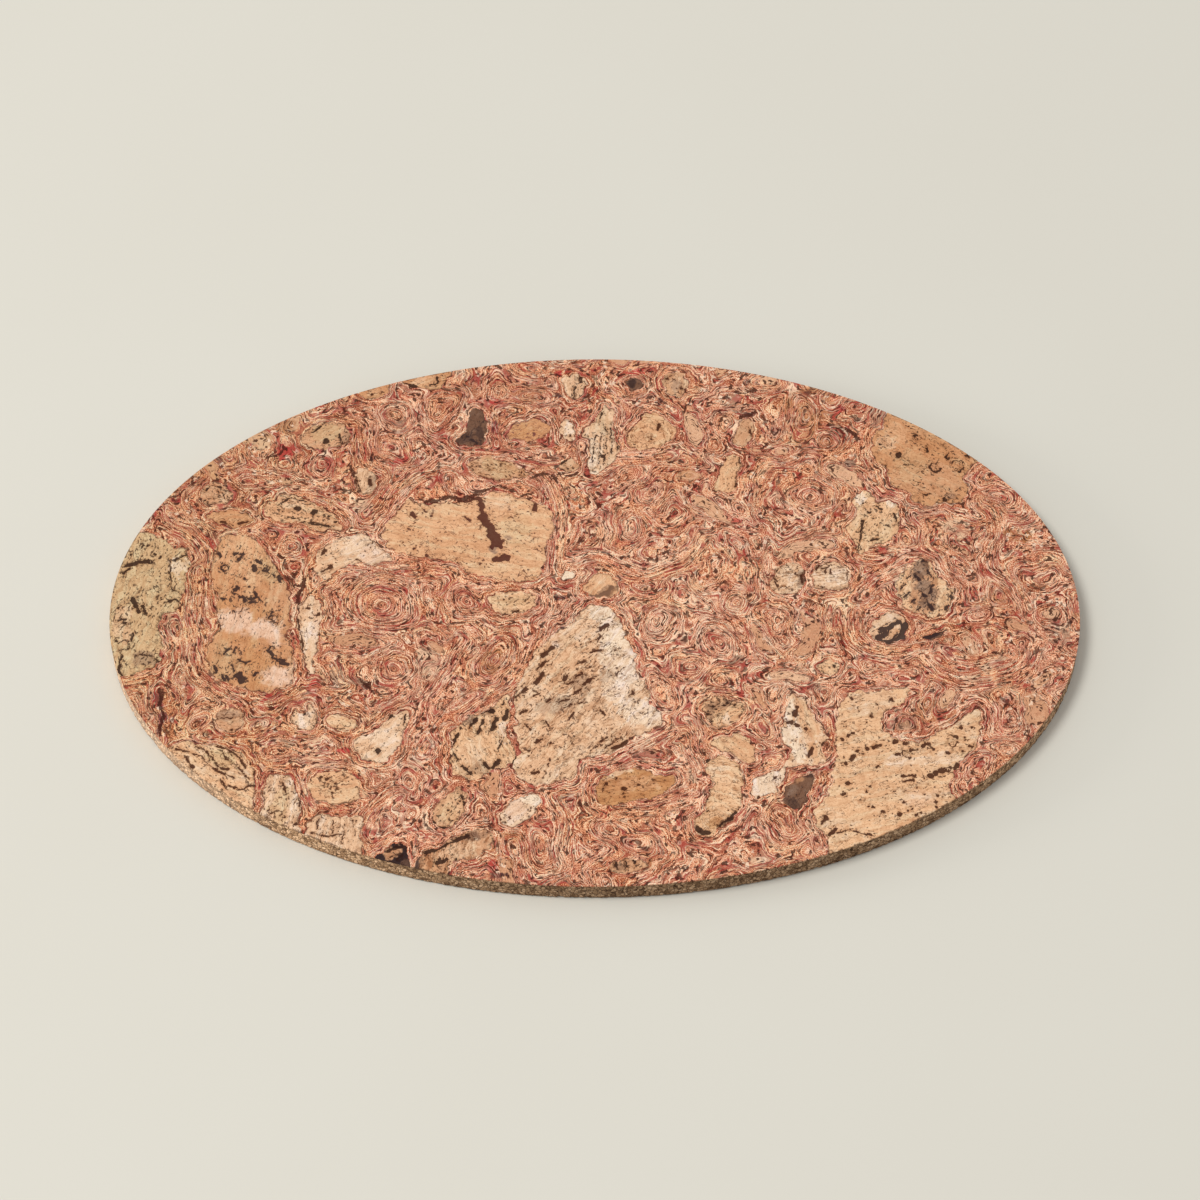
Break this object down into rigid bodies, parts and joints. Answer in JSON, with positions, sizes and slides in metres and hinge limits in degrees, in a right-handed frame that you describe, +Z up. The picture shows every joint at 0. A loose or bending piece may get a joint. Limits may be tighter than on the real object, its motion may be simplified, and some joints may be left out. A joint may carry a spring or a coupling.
{
  "type": "oval cork placemat",
  "caption": "Oval placemat: a thick pressed cork board faced with a thin decorative sheet of swirled cork layers and inlaid lumps of bark.",
  "frame": {"origin": "middle of the underside, on the table", "axes": "+X along the mat's length, +Y across it away from the diner, +Z up"},
  "size_m": [0.45, 0.3, 0.0107],
  "materials": {
    "board": "cut pressed cork granules, matt",
    "swirl": "sanded and sealed cork, satin",
    "bark_pale": "sanded and sealed cork bark, satin",
    "bark_tan": "sanded and sealed cork bark, satin",
    "bark_amber": "sanded and sealed cork bark, satin",
    "bark_dark": "sanded and sealed charred bark, satin"
  },
  "bodies": {
    "root": {"core_board": "board", "swirl_sheet": "swirl", "bark_left_rim": "bark_tan", "bark_amber_left": "bark_amber", "bark_club": "bark_pale", "bark_pale_wedge": "bark_pale", "bark_cracked": "bark_tan", "bark_knot": "bark_tan", "bark_ladder": "bark_tan", "bark_speckled": "bark_tan", "bark_grey_sliver": "bark_pale", "bark_orange_left": "bark_amber", "bark_rim_orange": "bark_amber", "bark_rim_small": "bark_amber", "bark_heart": "bark_pale", "bark_bean": "bark_pale", "bark_pebble": "bark_pale", "bark_green_lump": "bark_tan", "bark_rim_striped": "bark_amber", "bark_rim_pale": "bark_pale", "bark_rim_lined": "bark_pale", "bark_pored": "bark_tan", "bark_rim_sooty": "bark_dark", "bark_rim_ribbed": "bark_tan", "bark_pod": "bark_tan", "bark_white_pebble": "bark_pale", "bark_triangle": "bark_pale", "bark_fringed": "bark_tan", "bark_amber": "bark_amber", "bark_root": "bark_tan", "bark_white_branch": "bark_pale", "bark_dark_right": "bark_dark", "bark_right_rim": "bark_pale", "bark_star": "bark_pale", "bark_upper_rim": "bark_tan", "bark_ridged_left": "bark_pale", "bark_ridged_right": "bark_pale", "bark_smoky": "bark_pale", "bark_dark_tip": "bark_dark", "bark_dark_sliver": "bark_dark", "bark_fan": "bark_pale", "bark_dark_left": "bark_dark", "bark_white_sliver": "bark_pale", "bark_strip_lower": "bark_tan", "bark_strip_upper": "bark_tan", "bark_long_lump": "bark_amber", "bark_ringed_lump": "bark_tan", "bark_onion": "bark_tan", "bark_chip": "bark_tan", "bark_top_stub": "bark_pale", "bark_top_pod": "bark_tan", "bark_top_dark": "bark_dark", "bark_white_chip": "bark_pale", "bark_grey_foot": "bark_pale", "bark_ring_pod": "bark_tan", "bark_sooty": "bark_pale", "bark_orange_cap": "bark_amber", "bark_small_pale": "bark_pale", "bark_low_ribbed": "bark_tan"}
  },
  "joints": []
}
